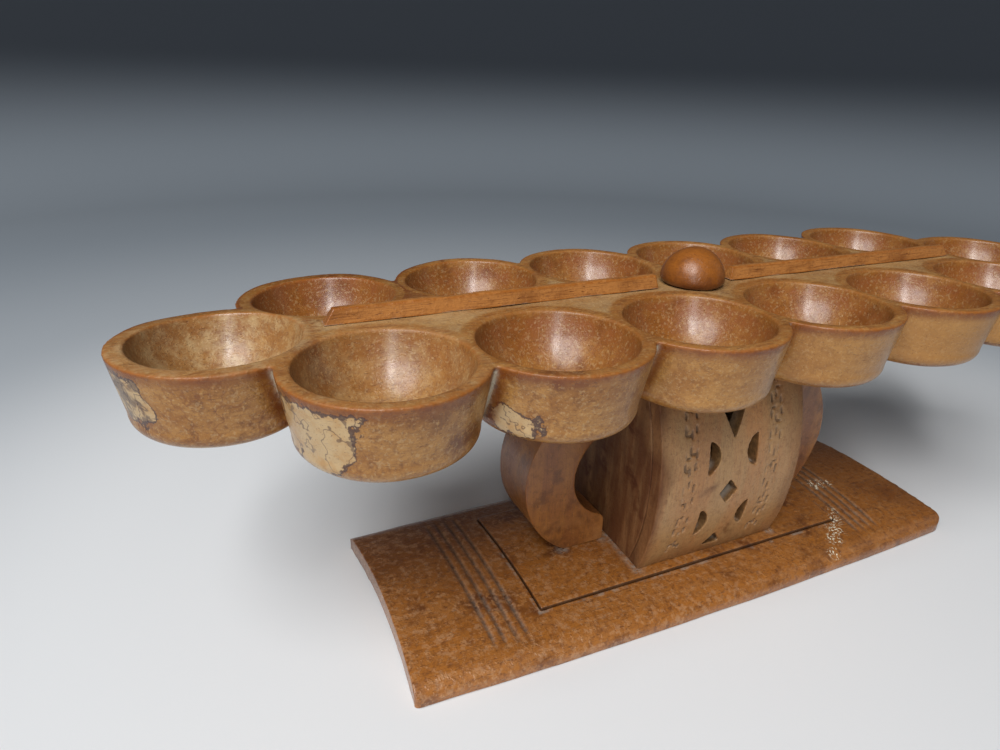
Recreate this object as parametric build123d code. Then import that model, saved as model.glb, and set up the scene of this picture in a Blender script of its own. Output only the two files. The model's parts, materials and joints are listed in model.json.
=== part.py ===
from build123d import *

import os
from math import sqrt

# Oware (mancala) board: a plank of fourteen cups on a carved stool stand, with a lift-out stopper.
#
# Millimetres. +X runs along the board, +Z is up, and the origin is on the table under the board's
# centre. Every separate piece of wood is one node.


# Board: six cups in each of two rows, and one seed store at each end, all turned to one size.
CUPS_IN_ROW = 6
CUP_PITCH = 78.5
ROW_Y = 50.6            # from the board's centre line to a row's
STORE_X = 256.0         # from the board's centre to a store's
BOARD_TOP = 178.2
BOARD_DEPTH = 36.0
RIM_R = 43.8            # outside of a cup at its rim
MOUTH_R = 36.8          # inside of a cup at its rim
WALL_R = 39.0           # outside of a cup where its wall turns under
FOOT_R = 33.0           # flat underside of a cup
TURN_UNDER = 9.0        # height of the rounded lower edge
CUP_DEPTH = 27.5
BOWL_R = 34.6           # inside of a cup where its wall turns to the floor
BOWL_STRAIGHT = 13.0    # depth of the nearly straight part of that wall
FLOOR_R = 19.0
SEAM_TURN = 37.0        # a cup's seam line is turned clear of its neighbours
WEB_DEPTH = 30.0        # wood between the rows
WEB_INSET = 7.0         # edge of that wood inside the line through the cup centres
PAD_HALF_X = 86.0       # thicker pad of the underside, over the stand
PAD_HALF_Y = 40.0
LEANING_CUP = (-4.5, -2.0)   # the back row's first cup was carved off its mark by this much
TIGHT_BOWL = 1.3             # its bowl and the left store's are smaller, to leave wood between them

# Ridge rails along the centre line.
RAIL_WIDTH = 7.6
RAIL_HEIGHT = 7.6
RAIL_TOP_WIDTH = 4.4
RAIL_Y = -0.8
RAIL_ROUND = 1.6
RAIL_END_SLANT = 5.0
LEFT_RAIL = (-211.5, -29.0)
RIGHT_RAIL = (21.0, 211.5)

# Stopper of the seed hole.
STOPPER_X = -4.6
STOPPER_Y = -1.2
KNOB_R = 18.0
KNOB_HEIGHT = 20.8
KNOB_BELLY = 4.0        # height of the widest place
KNOB_SEAT_R = 13.6
SEAT_GAP = 0.05
HOLE_R = 12.0
PLUG_R = 11.7
PLUG_LENGTH = 20.0

# Base slab.
BASE_HALF_X = 193.0
BASE_HALF_Y = 68.0      # at the corners
BASE_SIDE_BOW = 4.0     # long edges swell outwards
BASE_END_BOW = 3.0      # ends curve inwards
BASE_TOP = 15.5         # along the crown
BASE_SAG = 6.0          # fall of the top from the crown to the corners
ARCH_HEIGHT = 4.0       # hollow of the underside, between two foot strips
ARCH_HALF_Y = 58.0
BULLNOSE = 3.0
FOOT_ROUND = 1.2

# Raised panel let into the base.
PANEL_HALF_X = 112.0
PANEL_FRONT = -43.0
PANEL_BACK = 48.5
PANEL_RISE = 1.6
PANEL_BED = 8.6         # height of the recess floor

# Hollow column of two curved fret panels and two side walls.
COLUMN_X = 6.8
COLUMN_HALF_X = 51.5
BARREL_R = 153.0        # curve of the front and back
BARREL_HALF_Y = 47.1    # at its fullest
BARREL_Z = 70.0
WALL = 9.0

# Frets, measured from the column's middle line.
TRIANGLE_TOP = ((-9.5, 119.0), (9.5, 119.0), (0.0, 97.6))
TRIANGLE_FOOT = ((-7.0, 21.8), (7.0, 21.8), (0.0, 31.3))
DIAMOND_Z = 63.8
DIAMOND_HALF = (6.6, 8.2)
MOONS = (               # (flat side x, z from, z to, x of the bulge)
    (17.6, 78.0, 99.0, 9.8),
    (17.8, 34.6, 54.0, 11.2),
)

# Crescent legs, one at each end of the column.
LEG_R = 56.5
LEG_HOLLOW_R = 31.4
LEG_MID_Z = 66.0
LEG_OUTER_X = -55.9     # centres, from the column's middle line
LEG_HOLLOW_X = -48.4
LEG_INNER_X = -56.4     # plane of the leg's two ends, clear of the column
LEG_TURN_Z = 93.0       # where the outside leaves its circle
LEG_TOP_X = -80.0       # outside at the board
LEG_END_ROUND = 6.0
LEG_DEPTH = 36.5
LEFT_LEG_FRONT = -5.5
RIGHT_LEG_FRONT = -11.0

# Hidden dowels.
DOWEL_R = 3.0
DOWEL_BOARD = (128.0, 154.0)
DOWEL_BASE = (5.6, 30.0)
WALL_DOWEL_Y = 12.0
LEG_DOWEL_TOP_X = -68.0
LEG_DOWEL_FOOT_X = -69.5

BOARD_UNDER = BOARD_TOP - BOARD_DEPTH
CLEAR = 2.0             # how far a cutter runs past the face that it opens
BURIED_Z = 10.0         # start of the pieces that are then cut to the base's curved top


def box(x, y, z):
    """Box between three (low, high) pairs."""
    low = Vector(x[0], y[0], z[0])
    size = Vector(x[1] - x[0], y[1] - y[0], z[1] - z[0])
    return Pos(*low) * Box(*size, align=(Align.MIN, Align.MIN, Align.MIN))


def across(face, x_low, x_high):
    """Extrude a face drawn on the YZ plane along X between two places."""
    return Pos(x_low, 0, 0) * extrude(face, x_high - x_low, dir=(1, 0, 0))


def cups():
    """Centre of each of the fourteen cups, and how much tighter its bowl is."""
    first = -(CUPS_IN_ROW - 1) / 2 * CUP_PITCH
    for i in range(CUPS_IN_ROW):
        x = first + i * CUP_PITCH
        yield x, -ROW_Y, 0.0
        if i == 0:
            yield x + LEANING_CUP[0], ROW_Y + LEANING_CUP[1], TIGHT_BOWL
        else:
            yield x, ROW_Y, 0.0
    yield -STORE_X, 0.0, TIGHT_BOWL
    yield STORE_X, 0.0, 0.0


def turned(*edges):
    """Solid turned about Z from a closed outline in the XZ plane."""
    return revolve(make_face(Curve() + list(edges)), Axis.Z)


def cup_outside():
    """Outside of one cup: flat foot, rounded lower edge, leaning wall."""
    foot = BOARD_UNDER
    turn = foot + TURN_UNDER
    swell = (FOOT_R + (WALL_R - FOOT_R) * 0.73, 0, foot + TURN_UNDER * 0.3)
    return turned(
        Line((0, 0, foot), (FOOT_R, 0, foot)),
        ThreePointArc((FOOT_R, 0, foot), swell, (WALL_R, 0, turn)),
        Line((WALL_R, 0, turn), (RIM_R, 0, BOARD_TOP)),
        Line((RIM_R, 0, BOARD_TOP), (0, 0, BOARD_TOP)),
        Line((0, 0, BOARD_TOP), (0, 0, foot)),
    )


def cup_bowl(tighter):
    """Hollow of one cup: steep wall and dished floor, run out above the board at the same lean."""
    bend_r = BOWL_R - tighter
    floor = BOARD_TOP - CUP_DEPTH
    bend = BOARD_TOP - BOWL_STRAIGHT
    sweep = (FLOOR_R + (bend_r - FLOOR_R) * 0.76, 0, floor + (bend - floor) * 0.3)
    lean = (MOUTH_R - BOWL_R) / BOWL_STRAIGHT
    above = (MOUTH_R - tighter + lean * CLEAR, 0, BOARD_TOP + CLEAR)
    return turned(
        Line((0, 0, floor), (FLOOR_R, 0, floor)),
        ThreePointArc((FLOOR_R, 0, floor), sweep, (bend_r, 0, bend)),
        Line((bend_r, 0, bend), above),
        Line(above, (0, 0, BOARD_TOP + CLEAR)),
        Line((0, 0, BOARD_TOP + CLEAR), (0, 0, floor)),
    )


def playing_board():
    """One plank: cups joined by a web, a pad under the middle, and the seed hole."""
    tip = STORE_X - WEB_INSET
    corner_x = (CUPS_IN_ROW - 1) / 2 * CUP_PITCH - WEB_INSET
    corner_y = ROW_Y - WEB_INSET
    outline = make_face(Polyline(
        (-tip, 0), (-corner_x, -corner_y), (corner_x, -corner_y), (tip, 0),
        (corner_x, corner_y), (-corner_x, corner_y), close=True,
    ))
    board = Pos(0, 0, BOARD_TOP - WEB_DEPTH) * extrude(outline, WEB_DEPTH, dir=(0, 0, 1))
    board += box(
        (COLUMN_X - PAD_HALF_X, COLUMN_X + PAD_HALF_X),
        (-PAD_HALF_Y, PAD_HALF_Y),
        (BOARD_UNDER, BOARD_TOP - WEB_DEPTH / 2),
    )
    for x, y, _ in cups():
        board += Pos(x, y, 0) * Rot(0, 0, SEAM_TURN) * cup_outside()
    for x, y, tighter in cups():
        board -= Pos(x, y, 0) * Rot(0, 0, SEAM_TURN) * cup_bowl(tighter)
    board -= Pos(STOPPER_X, STOPPER_Y, BOARD_TOP - BOARD_DEPTH / 2) * Cylinder(HOLE_R, BOARD_DEPTH * 2)
    return board


def ridge_rail(span, inner_end):
    """Strip with a narrower rounded top, its outer end slanted, its end by the knob nearly square."""
    section = make_face(Polyline(
        (0, RAIL_Y - RAIL_WIDTH / 2, 0), (0, RAIL_Y + RAIL_WIDTH / 2, 0),
        (0, RAIL_Y + RAIL_TOP_WIDTH / 2, RAIL_HEIGHT), (0, RAIL_Y - RAIL_TOP_WIDTH / 2, RAIL_HEIGHT),
        close=True,
    ))
    rail = Pos(0, 0, BOARD_TOP) * across(section, *span)
    outer_end = span[0] + span[1] - inner_end
    inward = 1 if inner_end > outer_end else -1
    top = BOARD_TOP + RAIL_HEIGHT
    for end, slant in ((outer_end, RAIL_END_SLANT), (inner_end, -RAIL_END_SLANT / 3)):
        lean = inward * slant
        wedge = make_face(Polyline(
            (end, 0, BOARD_TOP), (end + lean, 0, top), (end, 0, top), close=True,
        ))
        rail -= extrude(wedge, RAIL_WIDTH, both=True, dir=(0, 1, 0))
    crown = rail.edges().filter_by(Axis.X).group_by(Axis.Z)[-1]
    return fillet(crown, RAIL_ROUND)


def stopper_knob():
    """Domed knob with a plug that drops into the seed hole."""
    seat = BOARD_TOP + SEAT_GAP
    foot = seat - PLUG_LENGTH
    belly = BOARD_TOP + KNOB_BELLY
    top = BOARD_TOP + KNOB_HEIGHT
    centre_z = (KNOB_R ** 2 + belly ** 2 - top ** 2) / (2 * (belly - top))
    dome_r = top - centre_z
    under = (KNOB_SEAT_R + (KNOB_R - KNOB_SEAT_R) * 0.75, 0, seat + KNOB_BELLY * 0.3)
    dome = (dome_r * sqrt(0.5), 0, centre_z + dome_r * sqrt(0.5))
    knob = turned(
        Line((0, 0, foot), (PLUG_R - 1, 0, foot)),
        Line((PLUG_R - 1, 0, foot), (PLUG_R, 0, foot + 1)),
        Line((PLUG_R, 0, foot + 1), (PLUG_R, 0, seat)),
        Line((PLUG_R, 0, seat), (KNOB_SEAT_R, 0, seat)),
        ThreePointArc((KNOB_SEAT_R, 0, seat), under, (KNOB_R, 0, belly)),
        ThreePointArc((KNOB_R, 0, belly), dome, (0, 0, top)),
        Line((0, 0, top), (0, 0, foot)),
    )
    return Pos(STOPPER_X, STOPPER_Y, 0) * knob


def crown_section(half_width, rise):
    """Area under the base's curved top, on the YZ plane, raised by rise."""
    radius = (BASE_HALF_Y ** 2 + BASE_SAG ** 2) / (2 * BASE_SAG)
    edge = BASE_TOP + rise - (radius - sqrt(radius ** 2 - half_width ** 2))
    crown = ThreePointArc((0, -half_width, edge), (0, 0, BASE_TOP + rise), (0, half_width, edge))
    floor = Polyline((0, half_width, edge), (0, half_width, 0), (0, -half_width, 0), (0, -half_width, edge))
    return make_face(Curve() + [crown, floor])


def side_lens():
    """Plan between the two swelling long edges, run past the ends."""
    radius = (BASE_HALF_X ** 2 + BASE_SIDE_BOW ** 2) / (2 * BASE_SIDE_BOW)
    reach = radius - BASE_HALF_Y - BASE_SIDE_BOW
    return Pos(0, reach) * Circle(radius) & Pos(0, -reach) * Circle(radius)


def end_plan():
    """Plan between the two hollow ends, wider than the slab."""
    x, y = BASE_HALF_X, BASE_HALF_Y
    wide = 2 * y
    return make_face(Curve() + [
        Polyline((-x, -y), (-x, -wide), (x, -wide), (x, -y)),
        ThreePointArc((x, -y), (x - BASE_END_BOW, 0), (x, y)),
        Polyline((x, y), (x, wide), (-x, wide), (-x, y)),
        ThreePointArc((-x, y), (-x + BASE_END_BOW, 0), (-x, -y)),
    ])


def ground():
    """Everything below the raised panel's curved top."""
    return across(crown_section(BASE_HALF_Y, PANEL_RISE), -PANEL_HALF_X, PANEL_HALF_X)


def panel_block():
    """The raised panel's outline as a block from its bed up."""
    top = BASE_TOP + PANEL_RISE
    return box((-PANEL_HALF_X, PANEL_HALF_X), (PANEL_FRONT, PANEL_BACK), (PANEL_BED, top))


def base_slab():
    """Crowned slab with a shallow arch underneath and a recess for the raised panel."""
    wide = BASE_HALF_Y + 2 * BASE_SIDE_BOW
    past = BASE_HALF_X + BASE_TOP
    slab = across(crown_section(wide, 0.0), -past, past)
    slab &= extrude(side_lens(), BASE_TOP, dir=(0, 0, 1))
    long_edges = [e for e in slab.edges() if e.length > BASE_HALF_X]
    slab = fillet([e for e in long_edges if e.center().Z > FOOT_ROUND], BULLNOSE)
    long_edges = [e for e in slab.edges() if e.length > BASE_HALF_X]
    slab = fillet([e for e in long_edges if e.center().Z < FOOT_ROUND / 2], FOOT_ROUND)
    slab &= extrude(end_plan(), BASE_TOP, dir=(0, 0, 1))
    arch = make_face(Curve() + [
        ThreePointArc((0, -ARCH_HALF_Y, 0), (0, 0, ARCH_HEIGHT), (0, ARCH_HALF_Y, 0)),
        Line((0, ARCH_HALF_Y, 0), (0, -ARCH_HALF_Y, 0)),
    ])
    slab -= across(arch, -BASE_HALF_X, BASE_HALF_X)
    return slab - panel_block()


def raised_panel():
    """Panel let into the base, its top following the crown a little higher."""
    return panel_block() & ground()


def barrel_disc(radius, side):
    """Disc on the YZ plane that curves the front (side -1) or back (side 1) of the column."""
    centre_y = -side * (BARREL_R - BARREL_HALF_Y)
    return Plane.YZ * Pos(centre_y, BARREL_Z) * Circle(radius)


def storey():
    """The YZ rectangle between the buried level and the board's underside."""
    height = BOARD_UNDER - BURIED_Z
    return Plane.YZ * Pos(0, BURIED_Z + height / 2) * Rectangle(2 * BARREL_HALF_Y, height)


def fret_panel(side):
    """Curved panel pierced by triangles, half-moons and a diamond."""
    section = (barrel_disc(BARREL_R, side) - barrel_disc(BARREL_R - WALL, side)) & storey()
    half = Plane.YZ * Pos(side * BARREL_HALF_Y / 2, BOARD_UNDER / 2) * Rectangle(BARREL_HALF_Y, BOARD_UNDER)
    section &= half
    panel = across(section, COLUMN_X - COLUMN_HALF_X, COLUMN_X + COLUMN_HALF_X)
    for outline in frets():
        cutter = extrude(outline, BARREL_HALF_Y + WALL, dir=(0, side, 0))
        panel -= Pos(COLUMN_X, 0, 0) * cutter
    return panel - ground()


def frets():
    """Outlines of the seven openings, on the XZ plane, about the column's middle line."""
    for points in (TRIANGLE_TOP, TRIANGLE_FOOT):
        yield make_face(Polyline(*[(x, 0, z) for x, z in points], close=True))
    half_x, half_z = DIAMOND_HALF
    yield make_face(Polyline(
        (0, 0, DIAMOND_Z - half_z), (half_x, 0, DIAMOND_Z), (0, 0, DIAMOND_Z + half_z),
        (-half_x, 0, DIAMOND_Z), close=True,
    ))
    for flat, low, high, bulge in MOONS:
        for hand in (-1, 1):
            ends = (hand * flat, 0, low), (hand * flat, 0, high)
            yield make_face(Curve() + [
                ThreePointArc(ends[0], (hand * bulge, 0, (low + high) / 2), ends[1]),
                Line(ends[1], ends[0]),
            ])


def column_wall(hand):
    """Side wall that fits between the two fret panels."""
    section = barrel_disc(BARREL_R - WALL, -1) & barrel_disc(BARREL_R - WALL, 1) & storey()
    outer = COLUMN_X + hand * COLUMN_HALF_X
    inner = outer - hand * WALL
    return across(section, min(outer, inner), max(outer, inner)) - ground()


def crescent_leg(hand, front):
    """Thick crescent between the base and the board, hollow side towards the column."""
    def on_circle(centre_x, radius, z):
        return centre_x - sqrt(radius ** 2 - (z - LEG_MID_Z) ** 2)

    hollow_reach = sqrt(LEG_HOLLOW_R ** 2 - (LEG_HOLLOW_X - LEG_INNER_X) ** 2)
    foot = (on_circle(LEG_OUTER_X, LEG_R, BURIED_Z), BURIED_Z)
    turn = (on_circle(LEG_OUTER_X, LEG_R, LEG_TURN_Z), LEG_TURN_Z)
    upper_end = (LEG_INNER_X, LEG_MID_Z + hollow_reach)
    lower_end = (LEG_INNER_X, LEG_MID_Z - hollow_reach)
    heel = (LEG_INNER_X, BASE_TOP)
    face = make_face(Curve() + [
        ThreePointArc(foot, (LEG_OUTER_X - LEG_R, LEG_MID_Z), turn),
        Line(turn, (LEG_TOP_X, BOARD_UNDER)),
        Line((LEG_TOP_X, BOARD_UNDER), (LEG_INNER_X, BOARD_UNDER)),
        Line((LEG_INNER_X, BOARD_UNDER), upper_end),
        ThreePointArc(upper_end, (LEG_HOLLOW_X - LEG_HOLLOW_R, LEG_MID_Z), lower_end),
        Line(lower_end, heel),
        Line(heel, (LEG_INNER_X - LEG_END_ROUND * 2, BURIED_Z)),
        Line((LEG_INNER_X - LEG_END_ROUND * 2, BURIED_Z), foot),
    ])
    ends = [v for v in face.vertices() if abs(v.X - LEG_INNER_X) < 0.01 and v.Y < BOARD_UNDER - 1]
    face = fillet(ends, LEG_END_ROUND)
    leg = Plane.XZ * extrude(face, -LEG_DEPTH)
    leg = Pos(0, front, 0) * leg
    if hand > 0:
        leg = mirror(leg, Plane.YZ)
    return Pos(COLUMN_X, 0, 0) * leg - ground()


def leg_middle(front):
    """Middle of a leg's depth."""
    return front + LEG_DEPTH / 2


def dowels(places, span):
    """Upright pegs at the given places between two heights."""
    length = span[1] - span[0]
    pegs = [Pos(x, y, (span[0] + span[1]) / 2) * Cylinder(DOWEL_R, length) for x, y in places]
    return Compound(pegs)


def wall_places():
    """Two dowels along the middle of each side wall."""
    reach = COLUMN_HALF_X - WALL / 2
    return [(COLUMN_X + hand * reach, y) for hand in (-1, 1) for y in (-WALL_DOWEL_Y, WALL_DOWEL_Y)]


def leg_places(offset):
    """One dowel in each leg."""
    return [(COLUMN_X + offset, leg_middle(LEFT_LEG_FRONT)), (COLUMN_X - offset, leg_middle(RIGHT_LEG_FRONT))]


def drilled(piece, *pegs):
    """The piece with sockets for the pegs."""
    for group in pegs:
        for peg in group.solids():
            piece -= peg
    return piece


board_dowels = dowels(wall_places(), DOWEL_BOARD)
base_dowels = dowels(wall_places(), DOWEL_BASE)
leg_head_dowels = dowels(leg_places(LEG_DOWEL_TOP_X), DOWEL_BOARD)
leg_foot_dowels = dowels(leg_places(LEG_DOWEL_FOOT_X), DOWEL_BASE)

nodes = {
    "playing_board": drilled(playing_board(), board_dowels, leg_head_dowels),
    "left_ridge_rail": ridge_rail(LEFT_RAIL, LEFT_RAIL[1]),
    "right_ridge_rail": ridge_rail(RIGHT_RAIL, RIGHT_RAIL[0]),
    "stopper_knob": stopper_knob(),
    "front_fret_panel": fret_panel(-1),
    "back_fret_panel": fret_panel(1),
    "left_column_wall": drilled(column_wall(-1), board_dowels, base_dowels),
    "right_column_wall": drilled(column_wall(1), board_dowels, base_dowels),
    "left_crescent_leg": drilled(crescent_leg(-1, LEFT_LEG_FRONT), leg_head_dowels, leg_foot_dowels),
    "right_crescent_leg": drilled(crescent_leg(1, RIGHT_LEG_FRONT), leg_head_dowels, leg_foot_dowels),
    "raised_panel": drilled(raised_panel(), base_dowels, leg_foot_dowels),
    "base_slab": drilled(base_slab(), base_dowels, leg_foot_dowels),
    "board_dowels": board_dowels,
    "base_dowels": base_dowels,
    "leg_head_dowels": leg_head_dowels,
    "leg_foot_dowels": leg_foot_dowels,
}

os.makedirs("parts", exist_ok=True)
for name, solid in nodes.items():
    export_step(solid, f"parts/{name}.step")
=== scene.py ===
# Looks of an oware board on a carved stool stand: hand-cut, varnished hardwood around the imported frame.

import json
from math import cos, pi, radians, sin

import bmesh
import bpy
import numpy as np
from mathutils import Matrix, Vector, kdtree


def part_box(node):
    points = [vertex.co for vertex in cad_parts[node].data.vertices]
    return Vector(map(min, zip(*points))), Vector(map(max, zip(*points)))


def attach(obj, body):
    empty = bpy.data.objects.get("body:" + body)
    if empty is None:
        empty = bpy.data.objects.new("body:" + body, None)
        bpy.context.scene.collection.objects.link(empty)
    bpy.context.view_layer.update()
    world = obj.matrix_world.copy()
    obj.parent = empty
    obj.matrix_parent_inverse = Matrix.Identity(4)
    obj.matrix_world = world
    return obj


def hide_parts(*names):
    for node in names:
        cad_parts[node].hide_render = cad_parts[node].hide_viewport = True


bl_info = {
    "name": "Oware board on a stool stand",
    "version": (1, 0, 0),
    "blender": (4, 5, 0),
    "location": "3D View > Sidebar > Oware",
    "description": "Builds the carved and varnished pieces of an oware board around its packed frame",
    "category": "Object",
}

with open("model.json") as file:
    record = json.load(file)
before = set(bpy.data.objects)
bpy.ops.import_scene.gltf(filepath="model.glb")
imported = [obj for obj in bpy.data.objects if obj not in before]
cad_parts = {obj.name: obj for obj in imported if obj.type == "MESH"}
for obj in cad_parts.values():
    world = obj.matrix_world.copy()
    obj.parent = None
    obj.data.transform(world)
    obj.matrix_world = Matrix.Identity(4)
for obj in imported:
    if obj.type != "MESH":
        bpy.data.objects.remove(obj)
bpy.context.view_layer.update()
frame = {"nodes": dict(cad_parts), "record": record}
MM = 0.001
FIXED, LIFTED = "board_and_stand", "stopper"
SEED = 11
SIDES = ("left", "right")
SMOOTH = {"interpolation_type": "SMOOTHSTEP"}

# Named places, all taken from the frame.
OPENINGS = {o["name"]: o["box_m"] for o in frame["record"]["physics"]["openings"]}
CUPS = {
    name: (Vector(low) + Vector(high)) / 2
    for name, (low, high) in OPENINGS.items()
    if ("_cup_" in name or name in ("left_store", "right_store")) and not name.endswith("_across")
}
BOARD_LOW, BOARD_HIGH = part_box("playing_board")
BOARD_TOP = BOARD_HIGH.z
STORE_X = max(c.x for c in CUPS.values())
ROW_Y = max(c.y for c in CUPS.values())
RIM_R = BOARD_HIGH.y - ROW_Y


# ---------------------------------------------------------------- settings

def length(name, description, default, **more):
    """A length property, in metres."""
    return bpy.props.FloatProperty(
        name=name, description=description, default=default, unit="LENGTH", precision=4, **more
    )


def tint(name, description, default):
    """A colour property, given as an sRGB hex value."""
    return bpy.props.FloatVectorProperty(
        name=name, description=description, default=linear(default), subtype="COLOR", size=4, min=0, max=1
    )


def linear(hex_value):
    """An sRGB hex value as linear red, green, blue and alpha."""
    parts = [int(hex_value[i:i + 2], 16) / 255 for i in (1, 3, 5)]
    return tuple(p / 12.92 if p <= 0.04045 else ((p + 0.055) / 1.055) ** 2.4 for p in parts) + (1.0,)


class BoardSettings(bpy.types.PropertyGroup):
    """The plank of cups."""
    mouth: length("Mouth radius", "Inside radius of a cup at its rim", RIM_R - 7.0 * MM)
    belly: length("Bowl belly radius", "Inside radius half way down a cup's wall", RIM_R - 13.0 * MM)
    belly_depth: length("Bowl belly depth", "Depth at which the belly radius holds", 15.5 * MM)
    floor: length("Bowl floor radius", "Radius of the flat middle of a cup's floor", 19.0 * MM)
    depth: length("Cup depth", "Depth of a cup", 27.5 * MM)
    wall: length("Outer wall radius", "Outside radius where a cup turns under", RIM_R - 4.8 * MM)
    foot: length("Foot radius", "Radius of a cup's flat underside", RIM_R - 10.8 * MM)
    turn: length("Turn under", "Height of the rounded lower edge", 9.0 * MM)
    tight: length("Tight bowl", "How much smaller two of the bowls are", 1.3 * MM)
    web: length("Web depth", "Thickness of the wood between the rows", 30.0 * MM)
    hole: length("Seed hole radius", "Radius of the hole under the stopper", 12.0 * MM)
    voxel: length("Voxel", "Size of the mesh that carries the hand-cut surface", 0.95 * MM)
    softening: bpy.props.IntProperty(
        name="Softening", description="Rounds of easing on the arrises", default=8, min=0
    )
    droop: length("Droop", "How far the back left corner of the plank has sunk", 3.2 * MM)
    waver: length("Waver", "Depth of the slow waves that a hand tool leaves", 0.5 * MM)


class StandSettings(bpy.types.PropertyGroup):
    """The carved stand."""
    voxel: length("Voxel", "Size of the mesh that carries the carved surface", 0.6 * MM)
    base_voxel: length("Base voxel", "Size of the base's mesh", 0.75 * MM)
    waver: length("Waver", "Depth of the slow waves that a hand tool leaves", 0.35 * MM)
    dash: length("Dash length", "Length of one cut in the columns of stepped dashes", 5.0 * MM)
    dash_width: length("Dash width", "Width of one cut", 1.5 * MM)
    dash_depth: length("Dash depth", "Depth of one cut", 1.5 * MM)
    scribe_width: length("Scribe width", "Width of a scribed line on the base", 1.9 * MM)
    scribe_depth: length("Scribe depth", "Depth of a scribed line on the base", 1.0 * MM)
    roll: length("Roll", "Width of the rounding along the base's long edges", 10.0 * MM)
    corner: length("Corner", "Radius of the base's left corners", 3.6 * MM)
    corner_y: length("Corner width", "From the middle of the base to its corners", 68.0 * MM)


class Woods(bpy.types.PropertyGroup):
    """Colours of the woods under their varnish."""
    board: tint("Board", "Wood of the plank", "#8d591c")
    board_pale: tint("Board, pale", "Paler streaks of the plank", "#ab7b3e")
    board_dark: tint("Board, dark", "Darker streaks of the plank", "#62330f")
    bowl: tint("Bowls", "Stain that has gathered in the cups", "#8c5228")
    rim: tint("Rims", "Varnish built up on the worn arrises", "#955416")
    # Also laid as painted shade beside the creases between the cups.
    under_rim: tint("Under the rims", "Stain that has run down under the arrises", "#6e350b")
    spalt: tint("Spalting", "Bleached wood inside the fungus lines", "#bfa276")
    spalt_line: tint("Spalting lines", "Zone lines round the bleached wood", "#3a1f1e")
    # Painted highlight: the pale line along the crease where two cups meet.
    seam: tint("Seams", "Wax and dust in the scribed seams between the cups", "#cdbf9f")
    crumb: tint("Crumbs", "Specks of old wax on the base", "#efe6cc")
    rail: tint("Rails", "Wood of the ridge rails", "#b67a40")
    rail_dark: tint("Rails, dark", "Darker grain of the ridge rails", "#6d3a14")
    knob: tint("Knob", "Wood of the stopper", "#9a5b20")
    # Also laid as painted shade on the stopper's lower sides.
    knob_dark: tint("Knob, dark", "Darker grain of the stopper", "#4e230c")
    column: tint("Column", "Wood of the column", "#a8784a")
    column_pale: tint("Column, pale", "Paler streaks of the column", "#a88255")
    column_dark: tint("Column, dark", "Stained streaks of the column", "#552a0c")
    leg: tint("Legs", "Wood of the legs", "#84502a")
    leg_pale: tint("Legs, pale", "Paler streaks of the legs", "#a0682f")
    leg_dark: tint("Legs, dark", "Stained streaks of the legs", "#57321a")
    base: tint("Base", "Wood of the base", "#a1652a")
    base_pale: tint("Base, pale", "Paler flecks of the base", "#a97442")
    base_fleck: tint("Base, flecks", "Pale flecks where the varnish has lifted", "#b68a63")
    # Also laid over the back left of the base, partly as painted shade from the board above.
    base_dark: tint("Base, dark", "Darker blotches of the base", "#623619")
    dowel: tint("Dowels", "Bare wood of the dowels", "#b8935f")
    dust: tint("Dust", "Dust and old polish in the crevices", "#a2978a")
    # Also laid as painted shade in the gap round the raised panel.
    dirt: tint("Dirt", "Dirt in cuts and scribed lines", "#2b1a10")
    floor: tint("Floor", "Pale floor", "#e6e8ea")
    # The floor further out and the backdrop carry painted shade: darker away from the middle and higher up.
    floor_far: tint("Floor, far", "Floor further out", "#b4bac0")
    backdrop: tint("Backdrop, low", "Backdrop near the floor", "#99a2ab")
    high: tint("Backdrop, high", "Backdrop high up", "#393f47")


# ---------------------------------------------------------------- meshes

def mesh_object(name, vertices, faces):
    """A linked object with a closed mesh, its faces turned outwards."""
    mesh = bpy.data.meshes.new(name)
    mesh.from_pydata([tuple(v) for v in vertices], [], faces)
    tidy = bmesh.new()
    tidy.from_mesh(mesh)
    bmesh.ops.recalc_face_normals(tidy, faces=tidy.faces)
    tidy.to_mesh(mesh)
    tidy.free()
    made = bpy.data.objects.new(name, mesh)
    bpy.context.scene.collection.objects.link(made)
    return made


def arc(start, middle, end, steps):
    """Points along the circle through three (radius, height) points."""
    (ax, ay), (bx, by), (cx, cy) = start, middle, end
    d = 2 * (ax * (by - cy) + bx * (cy - ay) + cx * (ay - by))
    ux = ((ax**2 + ay**2) * (by - cy) + (bx**2 + by**2) * (cy - ay) + (cx**2 + cy**2) * (ay - by)) / d
    uy = ((ax**2 + ay**2) * (cx - bx) + (bx**2 + by**2) * (ax - cx) + (cx**2 + cy**2) * (bx - ax)) / d
    first = np.arctan2(ay - uy, ax - ux)
    last = np.arctan2(cy - uy, cx - ux)
    reach = np.hypot(ax - ux, ay - uy)
    return [(ux + reach * cos(a), uy + reach * sin(a)) for a in np.linspace(first, last, steps)]


def turned(outline, centre, segments=144):
    """Vertices and faces of a closed solid turned about a vertical line; the outline runs axis to axis."""
    rings = [p for p in outline if p[0] > 1e-6]
    vertices = [(centre.x, centre.y, outline[0][1]), (centre.x, centre.y, outline[-1][1])]
    for radius, z in rings:
        for k in range(segments):
            turn = 2 * pi * k / segments
            vertices.append((centre.x + radius * cos(turn), centre.y + radius * sin(turn), z))
    faces = []
    for k in range(segments):
        after = (k + 1) % segments
        faces.append((0, 2 + after, 2 + k))
        top = 2 + (len(rings) - 1) * segments
        faces.append((1, top + k, top + after))
        for r in range(len(rings) - 1):
            low = 2 + r * segments
            faces.append((low + k, low + after, low + segments + after, low + segments + k))
    return vertices, faces


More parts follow.
